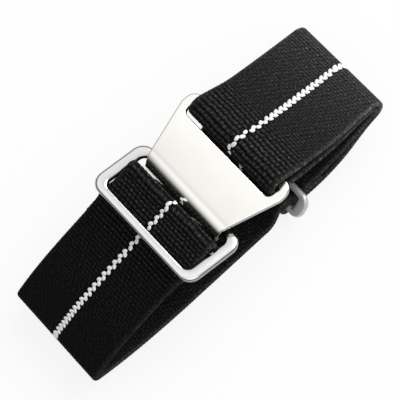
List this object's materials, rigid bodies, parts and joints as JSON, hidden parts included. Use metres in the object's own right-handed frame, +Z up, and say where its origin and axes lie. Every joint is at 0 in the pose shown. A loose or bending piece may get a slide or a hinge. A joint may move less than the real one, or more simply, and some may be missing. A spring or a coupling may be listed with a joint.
{
  "type": "stretch watch band",
  "caption": "Elastic single-pass watch band, closed as a loop, with a wide hook plate that catches a rectangular ring and a slider that sets its length.",
  "frame": {"origin": "middle of the footprint, on the table that the closed band lies on", "axes": "+X runs along the band from the ring towards the wide end of the hook plate, +Y runs across the webbing, +Z points up out of the clasp"},
  "size_m": [0.0696, 0.027, 0.015],
  "materials": {
    "plate_steel": "satin",
    "ring_steel": "polished",
    "webbing": "ribbed elastic webbing with a woven white centre line",
    "thread": "sewing thread"
  },
  "bodies": {
    "strap": {"back_run": "webbing", "top_left_run": "webbing", "ring_fold": "webbing", "ring_stitching": "thread", "slot_fold": "webbing", "outer_top_run": "webbing", "inner_top_run": "webbing", "outer_bottom_run": "webbing", "inner_bottom_run": "webbing"},
    "left_end": {"left_bend": "webbing"},
    "right_end": {"outer_right_bend": "webbing", "inner_right_bend": "webbing"},
    "ring": {"ring_frame": "ring_steel"},
    "hook": {"hook_plate": "plate_steel"},
    "slider_tab": {"slider_fold": "webbing", "slider_stitching": "thread", "slider_wave": "webbing"},
    "slider": {"slider_frame": "ring_steel"}
  },
  "joints": [
    {"name": "right_stretch", "type": "slide", "parent": "strap", "child": "right_end", "axis": [1, 0, 0], "range_m": [0, 0.01], "stiffness_N_per_m": 120, "deforming": ["outer_top_run", "inner_top_run", "outer_bottom_run", "inner_bottom_run"]},
    {"name": "left_stretch", "type": "slide", "parent": "strap", "child": "left_end", "axis": [-1, 0, 0], "range_m": [0, 0.01], "deforming": ["top_left_run", "back_run"]},
    {"name": "ring_tilt", "type": "hinge", "parent": "strap", "child": "ring", "pos_m": [-0.00525, 0, 0.01183], "axis": [0, 1, 0], "range_deg": [0, 10]},
    {"name": "plate_lift", "type": "hinge", "parent": "strap", "child": "hook", "pos_m": [0.0117, 0, 0.0129], "axis": [0, 1, 0], "range_deg": [0, 75]},
    {"name": "slider_adjust", "type": "slide", "parent": "strap", "child": "slider_tab", "axis": [-1, 0, 0], "range_m": [-0.002, 0.012], "deforming": ["back_run", "inner_bottom_run", "outer_bottom_run"]},
    {"name": "slider_tilt", "type": "hinge", "parent": "slider_tab", "child": "slider", "pos_m": [0.0107, 0, 0.00179], "axis": [0, -1, 0], "range_deg": [0, 45]}
  ],
  "couplings": [
    {"joint": "left_stretch", "follows": "right_stretch", "ratio": 1}
  ]
}
